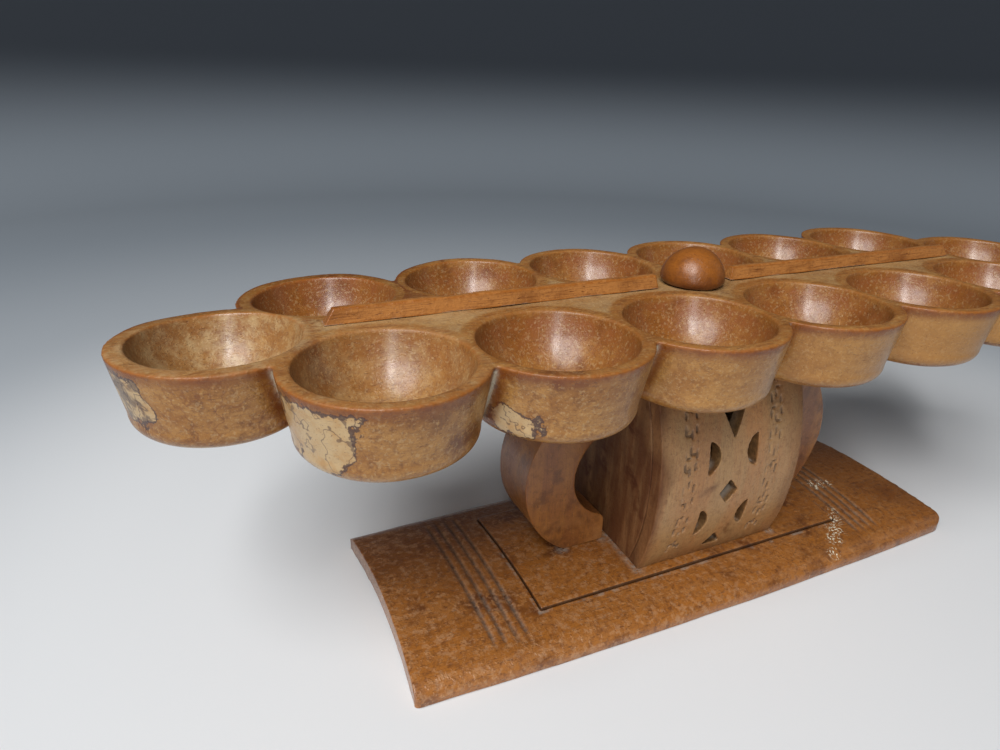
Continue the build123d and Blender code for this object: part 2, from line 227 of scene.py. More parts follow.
def prism(outline, low, high):
    """Vertices and faces of an upright prism."""
    count = len(outline)
    vertices = [(x, y, z) for z in (low, high) for x, y in outline]
    faces = [tuple(range(count)), tuple(range(count, 2 * count))]
    for k in range(count):
        after = (k + 1) % count
        faces.append((k, after, count + after, count + k))
    return vertices, faces


def gathered(solids):
    """Several (vertices, faces) solids as one."""
    vertices, faces = [], []
    for points, sides in solids:
        shift = len(vertices)
        vertices += list(points)
        faces += [tuple(shift + i for i in side) for side in sides]
    return vertices, faces


def applied(obj):
    """Bakes the object's modifiers into its mesh."""
    evaluated = obj.evaluated_get(bpy.context.evaluated_depsgraph_get())
    mesh = bpy.data.meshes.new_from_object(evaluated)
    obj.modifiers.clear()
    old, obj.data = obj.data, mesh
    bpy.data.meshes.remove(old)
    return obj


def cut(obj, cutter, self_crossing=False):
    """Takes the cutter's solids out of the object."""
    difference = obj.modifiers.new("Cut", "BOOLEAN")
    difference.operation = "DIFFERENCE"
    difference.solver = "EXACT"
    difference.use_self = self_crossing
    difference.object = cutter
    applied(obj)
    bpy.data.objects.remove(cutter)
    return obj


def even(obj, voxel, softening):
    """Remeshes to an even skin of quads, then eases its arrises."""
    skin = obj.modifiers.new("Even", "REMESH")
    skin.mode = "VOXEL"
    skin.voxel_size = voxel * 1
    ease = obj.modifiers.new("Ease", "SMOOTH")
    ease.factor = 0.5
    ease.iterations = softening
    return applied(obj)


def points_of(mesh):
    """The mesh's vertices as an array."""
    flat = np.empty(len(mesh.vertices) * 3, np.float32)
    mesh.vertices.foreach_get("co", flat)
    return flat.reshape(-1, 3).astype(np.float64)


def move_points(mesh, points):
    """Puts the mesh's vertices at the array's places."""
    mesh.vertices.foreach_set("co", points.astype(np.float32).ravel())
    mesh.update()


def normals_of(mesh):
    """The mesh's vertex normals as an array."""
    flat = np.empty(len(mesh.vertices) * 3, np.float32)
    mesh.vertex_normals.foreach_get("vector", flat)
    return flat.reshape(-1, 3).astype(np.float64)


def edges_of(mesh):
    """The mesh's edges as an array of vertex pairs."""
    flat = np.empty(len(mesh.edges) * 2, np.int32)
    mesh.edges.foreach_get("vertices", flat)
    return flat.reshape(-1, 2)


def spread(values, edges, rounds):
    """Averages a value on each vertex with its neighbours' several times."""
    count = np.bincount(edges.ravel(), minlength=len(values))
    for _ in range(rounds):
        total = np.bincount(edges[:, 0], values[edges[:, 1]], len(values))
        total += np.bincount(edges[:, 1], values[edges[:, 0]], len(values))
        values = 0.5 * values + 0.5 * total / np.maximum(count, 1)
    return values


def waves(points, size, seed):
    """Smooth noise from about -1 to 1, its waves about the given size, as a sum of crossed sines."""
    draw = np.random.default_rng(seed)
    total = np.zeros(len(points))
    directions = draw.normal(size=(14, 3))
    directions /= np.linalg.norm(directions, axis=1)[:, None]
    for direction in directions:
        pitch = size * draw.uniform(0.7, 1.6)
        total += np.sin(points @ direction * (2 * pi / pitch) + draw.uniform(0, 2 * pi))
    return total / 5


def fade(values, start, end):
    """0 up to the start, 1 from the end on and a straight run between them; the end may be the lower one."""
    return np.clip((values - start) / (end - start), 0, 1)


def mark(mesh, name, values):
    """Stores a value from 0 to 1 on each vertex, which a material reads by its name."""
    layer = mesh.attributes.new(name, "FLOAT", "POINT")
    layer.data.foreach_set("value", np.clip(values, 0, 1).astype(np.float32))


def hand_finish(obj, waver, wave_size, box, seed, dust=None):
    """Slow waves of a hand tool, always inwards and inside the given box, with worn and dusty marks.

    A surface's bend is how fast its normals turn along the edges, in radians per millimetre: above zero
    on an arris, which wears, and below it in a crevice, which gathers dust.
    """
    mesh = obj.data
    points, normals, edges = points_of(mesh), normals_of(mesh), edges_of(mesh)
    swing = 0.5 + 0.5 * np.clip(waves(points, wave_size, seed), -1, 1)
    points -= normals * (waver * swing)[:, None]
    points = np.clip(points, np.array(box[0]), np.array(box[1]))
    move_points(mesh, points)
    span = points[edges[:, 1]] - points[edges[:, 0]]
    reach = np.linalg.norm(span, axis=1)
    turn = normals[edges[:, 1]] - normals[edges[:, 0]]
    bend = np.einsum("ij,ij->i", span, turn) / np.maximum(reach, 1e-7) ** 2
    count = np.maximum(np.bincount(edges.ravel(), minlength=len(points)), 1)
    total = np.bincount(edges[:, 0], bend, len(points)) + np.bincount(edges[:, 1], bend, len(points))
    curve = total / count * MM
    mark(mesh, "worn", spread(fade(curve, 0.078125, 0.390625), edges, 3) * 1.3)
    hollow = spread(fade(-curve, 0.0625, 0.3125), edges, 4) * 1.5
    if dust is not None:
        hollow = np.maximum(hollow, dust(points))
    mark(mesh, "crevice", hollow)
    mesh.shade_smooth()
    return points


def carved_copy(node, voxel, softening, cutter=None):
    """A copy of a CAD node with an even skin and eased arrises."""
    copy = bpy.data.objects.new(f"{node}_carved", frame["nodes"][node].data.copy())
    bpy.context.scene.collection.objects.link(copy)
    weld = bmesh.new()
    weld.from_mesh(copy.data)
    bmesh.ops.remove_doubles(weld, verts=weld.verts, dist=1e-6)
    weld.to_mesh(copy.data)
    weld.free()
    copy.data.materials.clear()
    if cutter is not None:
        cut(copy, cutter, self_crossing=True)
    return even(copy, voxel, softening)


def settle(obj, node, material):
    """Gives a piece its material and its body, and hides the CAD node that it stands for."""
    obj.data.materials.clear()
    obj.data.materials.append(material)
    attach(obj, LIFTED if node == "stopper_knob" else FIXED)
    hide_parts(node)


# ---------------------------------------------------------------- materials

class Painter:
    """One material's nodes. Patterns are laid out in millimetres in the object's own frame."""

    def __init__(self, name):
        self.material = bpy.data.materials.new(name)
        self.material.use_nodes = True
        self.tree = self.material.node_tree
        self.tree.nodes.clear()
        place = self.add("TexCoord", out="Object")
        self.place = self.add("VectorMath", (place, (1 / MM,) * 3), operation="MULTIPLY")
        self.x, self.y, self.z = (self.add("SeparateXYZ", (self.place,), out=k) for k in range(3))

    def add(self, kind, inputs=(), out=0, **settings):
        """Adds a shader node with its settings, fills or links its inputs, and gives back one output."""
        made = self.tree.nodes.new("ShaderNode" + kind)
        for key, value in settings.items():
            setattr(made, key, value)
        for key, value in inputs.items() if isinstance(inputs, dict) else enumerate(inputs):
            if isinstance(value, bpy.types.NodeSocket):
                self.tree.links.new(value, made.inputs[key])
            else:
                made.inputs[key].default_value = value
        return made.outputs[out] if made.outputs else None

    def patches(self, size, low, high, start=0.0, end=1.0, detail=3.0, rough=0.6, shift=0.0):
        """Soft-edged patches about size millimetres across, as a value that runs from start to end."""
        stretch = tuple(1 / s for s in (size if isinstance(size, tuple) else (size,) * 3))
        spot = self.add("VectorMath", (self.place, stretch, (shift,) * 3), operation="MULTIPLY_ADD")
        noise = self.add("TexNoise", {"Vector": spot, "Scale": 1.0, "Detail": detail, "Roughness": rough})
        return self.add("MapRange", (noise, low, high, start, end), **SMOOTH)

    def outlines(self, size, width, shift=0.0):
        """Thin wandering lines, where slow noise of the given size crosses its middle."""
        noise = self.patches(size, 0.0, 1.0, shift=shift)
        signed = self.add("Math", (noise, 0.47), operation="SUBTRACT")
        away = self.add("Math", (signed,), operation="ABSOLUTE")
        return self.add("MapRange", (away, width, width * 0.4), **SMOOTH)

    def layered(self, colour, layers):
        """Lays (colour, factor, factor, ...) layers over a colour in order; a layer's factors multiply."""
        for over, cover, *factors in layers:
            for factor in factors:
                cover = self.add("Math", (cover, factor), operation="MULTIPLY")
            colour = self.add("Mix", {0: cover, 6: colour, 7: over}, out=2, data_type="RGBA")
        return colour

    def finish(self, colour, rough, coat, height, relief, **sockets):
        """The shader: constant values on its own sockets, relief in metres."""
        bump = self.add("Bump", {"Height": height, "Strength": 1.0, "Distance": relief})
        shader = {"Base Color": colour, "Roughness": rough, "Coat Weight": coat, "Normal": bump}
        shader.update({key.replace("_", " "): value for key, value in sockets.items()})
        self.add("OutputMaterial", {"Surface": self.add("BsdfPrincipled", shader)})
        return self.material


def unmarked(paint, woods):
    """No marks of its own."""
    return []


# What varnished wood gives the eye unless its piece says otherwise. Sizes are in millimetres, and the
# others are shares from 0 to 1.
PLAIN_LOOK = {
    "grain": "X",  # the axis that the fibres follow
    "blotch": 34.0,  # width of the clouds of darker wood
    "streaks": 1.0,  # how far the pale streaks cover
    "clouds": 0.5,  # how much of the wood the dark clouds take
    "mottle": 4.5,  # size of the spots where varnish has soaked in unevenly
    "fleck": 2.4,  # size of the pale flecks between them
    "mottling": 0.35,  # strength of both
    "fibre": 0.35,  # strength of the fine fibres
    "pores": 0.6,  # darkness of the pores
    "wear": 0.5,  # strength of the worn arrises
    "dusty": 0.6,  # strength of the dust in crevices
    "coat": 0.5,  # how much of the varnish is left
    "coat_rough": 0.16,  # roughness of the varnish
    "relief": 0.09,  # height of the grain under the varnish
    "stains": unmarked,  # colours laid under the pores and the wear
    "marks": unmarked,  # colours laid over everything else
}


def varnished_wood(name, mid, pale, dark, **look):
    """Close-grained hardwood, carved by hand and brushed with varnish.

    Broad streaks follow the grain, short pores lie along it as dark ticks, and a mottle of a few
    millimetres breaks up both colour and gloss. Pores are about 0.2 mm wide in the wood and are drawn
    at 0.55 mm so that they show. Varnish has an IOR of 1.5, and it is dull where dust and handling have
    taken its shine.
    """
    look = {**PLAIN_LOOK, **look}
    woods = bpy.context.scene.oware_woods
    paint = Painter(name)
    blotch, share = look["blotch"], look["clouds"]
    mottle = paint.patches(look["mottle"], 0.45, 0.75, detail=4.0, rough=0.7)
    fleck = paint.patches(look["fleck"], 0.52, 0.7, detail=2.0, shift=7.3)
    fibre = paint.patches(along(look["grain"], 16.0, 0.8), 0.45, 0.8, rough=0.65)
    pore = paint.patches(along(look["grain"], 4.2, 0.55), 0.66, 0.76, detail=1.0, rough=0.5)
    worn, crevice, matt, hollow = (
        paint.add("Attribute", out="Fac", attribute_name=key) for key in ("worn", "crevice", "matt", "bowl")
    )
    clots = paint.patches(2.2, 0.3, 0.6, detail=4.0, rough=0.7)
    dusty = paint.add("Math", (crevice, clots), operation="MULTIPLY")
    streak = along(look["grain"], blotch * 4, blotch * 0.4)
    colour = paint.layered(mid, [
        (pale, paint.patches(streak, 0.38, 0.66, 0.0, look["streaks"], 4.0)),
        (dark, paint.patches(blotch, 0.66 - 0.3 * share, 0.8 - 0.2 * share)),
        (dark, mottle, look["mottling"]),
        (pale, fleck, look["mottling"]),
        (dark, paint.patches(1.1, 0.5, 0.75, shift=3.1), look["mottling"] * 0.7),
        (dark, fibre, look["fibre"]),
        *look["stains"](paint, woods),
        (dark, pore, look["pores"]),
        (woods.rim, worn, look["wear"], paint.patches(3.0, 0.3, 0.6, 0.3, 1.0)),
        (woods.dust, dusty, look["dusty"]),
        *look["marks"](paint, woods),
    ])
    # Least varnish where the wood is matt or dusty, and most in a bowl.
    dull = paint.add("Math", (matt, 0.7, dusty), operation="MULTIPLY_ADD")
    coat = paint.add("MapRange", (dull, 0.0, 0.7, look["coat"], 0.04), **SMOOTH)
    coat = paint.add("Math", (hollow, 0.15, coat), operation="MULTIPLY_ADD")
    soaked = paint.add("Math", (mottle, 0.3, dull), operation="MULTIPLY_ADD")
    rough = paint.add("MapRange", (soaked, 0.0, 1.0, 0.36, 0.8))
    height = paint.add("Math", (fleck, pore), operation="SUBTRACT")
    height = paint.add("Math", (fibre, 0.5, height), operation="MULTIPLY_ADD")
    height = paint.add("Math", (mottle, -0.5, height), operation="MULTIPLY_ADD")
    return paint.finish(
        colour, rough, coat, height, look["relief"] * MM, Coat_Roughness=look["coat_rough"], Coat_IOR=1.5,
        IOR=1.5, Specular_IOR_Level=0.4,
    )


def along(axis, length_mm, across_mm):
    """Patch size that is long on one axis and fine on the other two."""
    return tuple(length_mm if a == axis else across_mm for a in "XYZ")


# Middles and radii of the spalted patches, in millimetres: the outsides of the left store and the first
# two cups of the front row.
SPALTED = (
    (-231.0, -76.0, 163.0, 19.5),
    (-243.0, -61.0, 160.0, 14.0),
    (-152.5, -67.5, 150.5, 7.0),
    (-147.5, -75.0, 152.0, 6.5),
    (-157.6, -61.5, 168.0, 3.0),
    (-293.0, -20.0, 164.0, 14.0),
)


def board_stains(paint, woods):
    """Stain in the bowls and under the rims, spalting with its dark zone lines, a painted highlight along
    the crease where two cups meet with painted shade beside it, and painted light that makes the outer walls
    paler towards the right.
    """
    bowl, bleached, rim, under, seam, groove_shade, matt = (
        paint.add("Attribute", out="Fac", attribute_name=key)
        for key in ("bowl", "bleached", "rim", "under_rim", "seam", "groove_shade", "matt")
    )
    # Distance outwards from the spalted patches' ragged outlines, which stop just under the rims.
    reach = nearest_of(paint, SPALTED)
    top = BOARD_TOP / MM
    below = paint.add("Math", (paint.z, top - 4.5), operation="SUBTRACT")
    swell = paint.patches(13.0, 0.25, 0.75, -4.0, 4.0, 1.0, 0.5)
    jag = paint.patches(2.6, 0.2, 0.8, -1.5, 1.5, 2.0)
    reach = paint.add("Math", (reach, swell), operation="ADD")
    reach, below = (paint.add("Math", (edge, jag), operation="ADD") for edge in (reach, below))
    reach = paint.add("Math", (reach, below), operation="MAXIMUM")
    inside = paint.add("MapRange", (reach, 0.4, -0.4), **SMOOTH)
    # The zone line along that outline, now thick and now thin.
    thick = paint.patches(4.0, 0.3, 0.7, 0.4, 1.1, 2.0)
    away = paint.add("Math", (reach,), operation="ABSOLUTE")
    away = paint.add("Math", (away, thick), operation="SUBTRACT")
    line = paint.add("MapRange", (away, 0.3, -0.3), **SMOOTH)
    # The plank's left tip, its left end, its right half (whose outer walls get painted light), its outsides
    # and its flat tops.
    far_left = paint.add("MapRange", (paint.x, -276.0, -286.0), **SMOOTH)
    left = paint.add("MapRange", (paint.x, -205.0, -225.0), **SMOOTH)
    right = paint.add("MapRange", (paint.x, -140.0, 160.0))
    outer = paint.add("MapRange", (bowl, 0.03, 0.0))
    between = paint.add("MapRange", (rim, 0.5, 0.0, 0.25, 1.0))
    wall = paint.add("MapRange", (paint.z, top - 3.0, top - 6.0), **SMOOTH)
    return [
        (woods.bowl, bowl, paint.patches(9.0, 0.25, 0.7, 0.35, 1.0, 4.0, 0.7)),
        (woods.board_dark, bowl, paint.patches(15.0, 0.5, 0.7, detail=4.0, shift=2.2), 0.5),
        (woods.spalt, paint.patches(1.7, 0.54, 0.66, detail=2.0, shift=11.0), 0.3),
        (woods.spalt, bleached, paint.patches(9.0, 0.6, 0.3, 0.15, 0.75, 4.0, 0.7)),
        # Painted light: the outer walls are painted paler towards the right.
        (woods.board_pale, right, wall, outer, 0.75),
        (woods.spalt, matt, between, paint.patches(12.0, 0.3, 0.7, 0.4, 1.0, 4.0), 0.55),
        (woods.rim, rim, paint.patches(6.0, 0.3, 0.65, 0.1, 1.0, 4.0, 0.7), 0.5),
        (woods.board_dark, rim, paint.patches((9.0, 2.2, 9.0), 0.5, 0.66, detail=2.0), 0.45),
        (woods.under_rim, under, paint.patches(8.0, 0.25, 0.6, 0.45, 1.0, 4.0)),
        (woods.under_rim, paint.outlines(26.0, 0.018, 5.0), left, wall, outer, 0.4),
        (woods.spalt, inside, 0.9),
        (woods.board_pale, inside, paint.patches(8.0, 0.4, 0.7), 0.7),
        (woods.spalt_line, inside, paint.patches(7.0, 0.46, 0.56, detail=2.0, shift=4.0), far_left, 0.65),
        (woods.spalt_line, inside, paint.outlines(15.0, 0.024), 0.6),
        (woods.spalt_line, line, 0.85),
        # Painted shade to either side of the crease where two cups meet, then a painted highlight on the
        # crease itself.
        (woods.under_rim, groove_shade, paint.patches(9.0, 0.3, 0.6, 0.4, 1.0), 0.8),
        (woods.seam, seam, paint.patches(7.0, 0.25, 0.6, 0.5, 1.0), 0.9),
    ]


def nearest_of(paint, spheres):
    """Distance to the nearest of several (x, y, z, radius) spheres, below zero inside one."""
    reach = None
    for *middle, radius in spheres:
        away = paint.add("VectorMath", (paint.place, middle), out="Value", operation="DISTANCE")
        away = paint.add("Math", (away, radius), operation="SUBTRACT")
        reach = away if reach is None else paint.add("Math", (reach, away), operation="MINIMUM")
    return reach


# ---------------------------------------------------------------- pieces

class OWARE_OT_playing_board(bpy.types.Operator):
    """Turn the cups, join them and give the plank its hand-cut skin"""
    bl_idname = "oware.playing_board"
    bl_label = "Playing board"

    def execute(self, context):
        size = context.scene.oware_board
        under = BOARD_LOW.z
        outside = [(0, under), (size.foot, under)]
        swell = (size.foot + (size.wall - size.foot) * 0.73, under + size.turn * 0.3)
        outside += arc((size.foot, under), swell, (size.wall, under + size.turn), 9)[1:]
        outside += [(RIM_R, BOARD_TOP), (0, BOARD_TOP)]
        solids = [turned(outside, cup) for cup in CUPS.values()]
        inset = 7.0 * MM
        tip, row = STORE_X - inset, ROW_Y - inset
        corner = CUPS["back_cup_6"].x - inset
        web = [(-tip, 0), (-corner, -row), (corner, -row), (tip, 0), (corner, row), (-corner, row)]
        solids.append(prism(web, BOARD_TOP - size.web, BOARD_TOP))
        left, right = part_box("left_crescent_leg")[0].x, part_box("right_crescent_leg")[1].x
        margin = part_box("left_ridge_rail")[1].z - BOARD_TOP
        left, right, reach = left + margin, right - margin, row - inset / 2
        pad = [(left, -reach), (right, -reach), (right, reach), (left, reach)]
        solids.append(prism(pad, under, BOARD_TOP - size.web / 2))
        board = mesh_object("playing_board_carved", *gathered(solids))
        bowls = []
        for name, cup in CUPS.items():
            tight = size.tight if name in ("left_store", "back_cup_1") else 0.0
            bowls.append(self.bowl(size, cup, tight))
        low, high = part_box("stopper_knob")
        hole, clear = (low + high) / 2, 5 * MM
        low, high = under - clear, BOARD_TOP + clear
        bowls.append(turned([(0, low), (size.hole, low), (size.hole, high), (0, high)], hole))
        cut(board, mesh_object("bowls", *gathered(bowls)), self_crossing=True)
        even(board, size.voxel, size.softening)
        self.warp(board, size)
        points = hand_finish(board, size.waver, 46 * MM, (BOARD_LOW, BOARD_HIGH), SEED)
        self.mark_cups(board.data, points, size)
        woods = context.scene.oware_woods
        # Spalted hardwood under brushed varnish: mottled brown with pale patches inside thin dark lines,
        # glossier in the bowls, where varnish has pooled, than on the worn walls.
        finish = varnished_wood(
            "spalted_hardwood_varnished", woods.board, woods.board_pale, woods.board_dark,
            stains=board_stains, wear=0.8, clouds=0.3, coat=0.38, coat_rough=0.2, mottle=3.4, fleck=1.8,
            mottling=0.7, relief=0.1,
        )
        settle(board, "playing_board", finish)
        return {"FINISHED"}

    @staticmethod
    def bowl(size, cup, tight):
        """The hollow of one cup."""
        floor, belly = BOARD_TOP - size.depth, BOARD_TOP - size.belly_depth
        mouth = size.mouth - tight
        clear = 2 * MM
        outline = [(0, floor), (size.floor, floor)]
        outline += arc((size.floor, floor), (size.belly - tight, belly), (mouth, BOARD_TOP), 24)[1:]
        outline += [(mouth + clear / 4, BOARD_TOP + clear), (0, BOARD_TOP + clear)]
        return turned(outline, cup)

    @staticmethod
    def warp(board, size):
        """The plank's back left corner has sunk a little."""
        points = points_of(board.data)
        towards_left = fade(-points[:, 0], 90 * MM, 220 * MM)
        towards_back = fade(points[:, 1], 5 * MM, 65 * MM)
        points[:, 2] -= size.droop * towards_left * towards_back * (3 - 2 * towards_back) * towards_back
        move_points(board.data, points)

    @staticmethod
    def mark_cups(mesh, points, size):
        """Marks the bowls, the rims, the painted highlight on the crease where two cups meet and the painted
        shade beside it. The left store and the cup before it are bleached.
        """
        away = np.array([np.hypot(points[:, 0] - c.x, points[:, 1] - c.y) for c in CUPS.values()])
        order = np.argsort(away, axis=0)
        nearest, second = np.take_along_axis(away, order[:2], axis=0)
        depth = BOARD_TOP - points[:, 2]
        inside = fade(nearest - size.mouth, 0.6 * MM, -0.9 * MM) * fade(depth, 0, 2 * MM)
        # Shares of stain and of bleached wood, in the two cups that differ from the others.
        stained = np.array([{"left_store": 0.35, "front_cup_1": 0.6}.get(name, 1.0) for name in CUPS])
        pale = np.array([{"left_store": 1.0, "front_cup_1": 0.45}.get(name, 0.0) for name in CUPS])
        skin = np.maximum(inside, fade(depth, 3 * MM, 0))
        mark(mesh, "bleached", pale[order[0]] * (nearest < RIM_R) * skin)
        sunk = np.clip(1.25 - depth / size.depth, 0.25, 1)
        mark(mesh, "bowl", inside * sunk * stained[order[0]])
        middle = (size.mouth + RIM_R) / 2
        ring = fade(np.abs(nearest - middle) / (RIM_R - middle), 1.2, 0.2)
        mark(mesh, "rim", ring * fade(depth, 6 * MM, 0))
        run = fade(depth, 0.4 * MM, 1.4 * MM) * fade(depth, 7.2 * MM, 1.2 * MM)
        mark(mesh, "under_rim", run * (nearest > middle + 1 * MM))
        outside = (nearest > size.foot + 2 * MM) & (depth > 2.5 * MM) & (inside <= 0)
        gap = second - nearest
        # Painted highlight on the crease where two cups meet, and painted shade a little to either side of
        # it.
        mark(mesh, "seam", fade(gap, 1.92 * MM, 0.72 * MM) * outside)
        mark(mesh, "groove_shade", fade(np.abs(gap - 4 * MM), 3.5 * MM, 1 * MM) * outside)
        mark(mesh, "matt", fade(depth, 1.6 * MM, 0))


class OWARE_OT_ridge_rails(bpy.types.Operator):
    """Shape the two rails along the middle of the board"""
    bl_idname = "oware.ridge_rails"
    bl_label = "Ridge rails"

    def execute(self, context):
        woods = context.scene.oware_woods
        # Straight-grained hardwood with little varnish left: long pale and dark fibres, nearly matt.
        finish = varnished_wood(
            "straight_grained_hardwood_varnished", woods.rail, woods.rail, woods.rail_dark,
            wear=0.8, blotch=60.0, pores=0.9, fibre=0.8, coat=0.25, mottle=2.5, mottling=0.45,
        )
        for k, side in enumerate(SIDES):
            part = f"{side}_ridge_rail"
            rail = carved_copy(part, 0.45 * MM, 3)
            hand_finish(rail, 0.5 * MM, 30 * MM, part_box(part), SEED + k)
            settle(rail, part, finish)
        return {"FINISHED"}


class OWARE_OT_stopper_knob(bpy.types.Operator):
    """Round the stopper's dome and plug"""
    bl_idname = "oware.stopper_knob"
    bl_label = "Stopper"

    def execute(self, context):
        woods = context.scene.oware_woods
        # Red hardwood polished by hands: even colour with a soft, broad highlight.
        finish = varnished_wood(
            "red_hardwood_polished", woods.knob, woods.knob, woods.knob_dark,
            grain="Y", wear=0.1, blotch=26.0, clouds=0.25, dusty=0.2, coat=0.35, coat_rough=0.3,
            marks=knob_painted_shade,
        )
        knob = carved_copy("stopper_knob", 0.4 * MM, 6)
        hand_finish(knob, 0.4 * MM, 22 * MM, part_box("stopper_knob"), SEED + 3)
        settle(knob, "stopper_knob", finish)
        return {"FINISHED"}


class OWARE_OT_fret_panels(bpy.types.Operator):
    """Cut the columns of stepped dashes into the pierced, curved panels"""
    bl_idname = "oware.fret_panels"
    bl_label = "Fret panels"

    def execute(self, context):
        size = context.scene.oware_stand
        woods = context.scene.oware_woods
        # Pale hardwood as carved, with a thin coat: tan and dry, with dirt in its cuts.
        finish = varnished_wood(
            "pale_hardwood_carved", woods.column, woods.column_pale, woods.column_dark, grain="Z",
            wear=0.0, coat=0.15, coat_rough=0.3, clouds=0.15, dusty=0.3, mottle=3.0, marks=column_marks,
        )
        for k, (part, side) in enumerate((("front_fret_panel", -1), ("back_fret_panel", 1))):
            panel = carved_copy(part, size.voxel, 3, self.dashes(size, part, side))
            points = hand_finish(panel, size.waver, 35 * MM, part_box(part), SEED + 5 + k)
            face = self.face(part, side, points[:, 2])
            depth = side * (face - points[:, 1])
            low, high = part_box(part)
            border = 5 * MM
            inner = np.abs(points[:, 0] - (low.x + high.x) / 2) < (high.x - low.x) / 2 - border
            mark(panel.data, "sunk", inner * fade(depth - size.waver, 0.2 * MM, 1 * MM))
            mark(panel.data, "deep", inner * fade(depth - size.dash_depth * 2, 0, 3 * MM))
            stain_sides(panel.data, points)
            settle(panel, part, finish)
        return {"FINISHED"}

    @staticmethod
    def face(part, side, z):
        """Y of the panel's barrelled face at height z."""
        low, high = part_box(part)
        middle, radius = 70 * MM, 153 * MM
        front = low.y if side < 0 else high.y
        return front - side * (radius - np.sqrt(radius**2 - (z - middle) ** 2))

    def dashes(self, size, part, side):
        """Short upright cuts in stepped threes, in a column down each side of the panel."""
        low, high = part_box(part)
        middle = (low.x + high.x) / 2
        draw = np.random.default_rng(SEED + 20)
        solids = []
        pitch, out, step_mm = 11 * MM, 30.5 * MM, 3.6
        bar = step_mm * MM
        for hand in (-1, 1):
            for row in range(int((high.z - low.z) / pitch) - 1):
                top = high.z - (row + 1.1) * pitch
                for step in range(3):
                    x = middle + hand * out + (step_mm * (step - 1) + draw.normal(0, 0.25)) * MM
                    z = top - ((step + row) % 2) * size.dash * 0.6 + draw.normal(0, 0.4) * MM
                    long = size.dash * draw.uniform(0.85, 1.25)
                    solids.append(self.notch(size, part, side, x, z, size.dash_width, long))
                    if step < 2 and draw.uniform() < 0.6:
                        z += draw.choice((-0.5, 0.5)) * long
                        solids.append(self.notch(size, part, side, x + bar / 2, z, bar, size.dash_width))
        return mesh_object("dashes", *gathered(solids))

    def notch(self, size, part, side, x, z, width, tall):
        """A small block that cuts one dash into the face."""
        y = float(self.face(part, side, np.array(z)))
        depth = size.dash_depth
        outline = [(x - width / 2, y - depth), (x + width / 2, y - depth),
                   (x + width / 2, y + depth), (x - width / 2, y + depth)]
        return prism(outline, z - tall / 2, z + tall / 2)


class OWARE_OT_column_walls(bpy.types.Operator):
    """Stain the column's side walls"""
    bl_idname = "oware.column_walls"
    bl_label = "Column walls"

    def execute(self, context):
        size = context.scene.oware_stand
        woods = context.scene.oware_woods
        # Hardwood stained along its grain: dark brown streaks, nearly matt.
        finish = varnished_wood(
            "streaked_hardwood_stained", woods.column, woods.column_pale, woods.column_dark, grain="Z",
            wear=0.0, coat=0.1, coat_rough=0.3, clouds=0.5, blotch=16.0, marks=column_marks,
        )
        for k, side in enumerate(SIDES):
            part = f"{side}_column_wall"
            wall = carved_copy(part, size.voxel, 2)
            points = hand_finish(wall, size.waver * 0.5, 35 * MM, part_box(part), SEED + 8 + k)
            stain_sides(wall.data, points)
            settle(wall, part, finish)
        return {"FINISHED"}


class OWARE_OT_crescent_legs(bpy.types.Operator):
    """Round the edges of the crescent legs"""
    bl_idname = "oware.crescent_legs"
    bl_label = "Crescent legs"

    def execute(self, context):
        size = context.scene.oware_stand
        woods = context.scene.oware_woods
        # Tan hardwood carved and varnished: warm brown with a satin sheen on its curves.
        finish = varnished_wood(
            "tan_hardwood_carved", woods.leg, woods.leg_pale, woods.leg_dark, grain="Z",
            wear=0.15, coat=0.4, coat_rough=0.26, clouds=0.35, dusty=0.3, mottling=0.45, marks=leg_marks,
        )
        for k, side in enumerate(SIDES):
            part = f"{side}_crescent_leg"
            leg = carved_copy(part, size.voxel, 4)
            hand_finish(leg, size.waver, 35 * MM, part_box(part), SEED + 11 + k)
            settle(leg, part, finish)
        return {"FINISHED"}


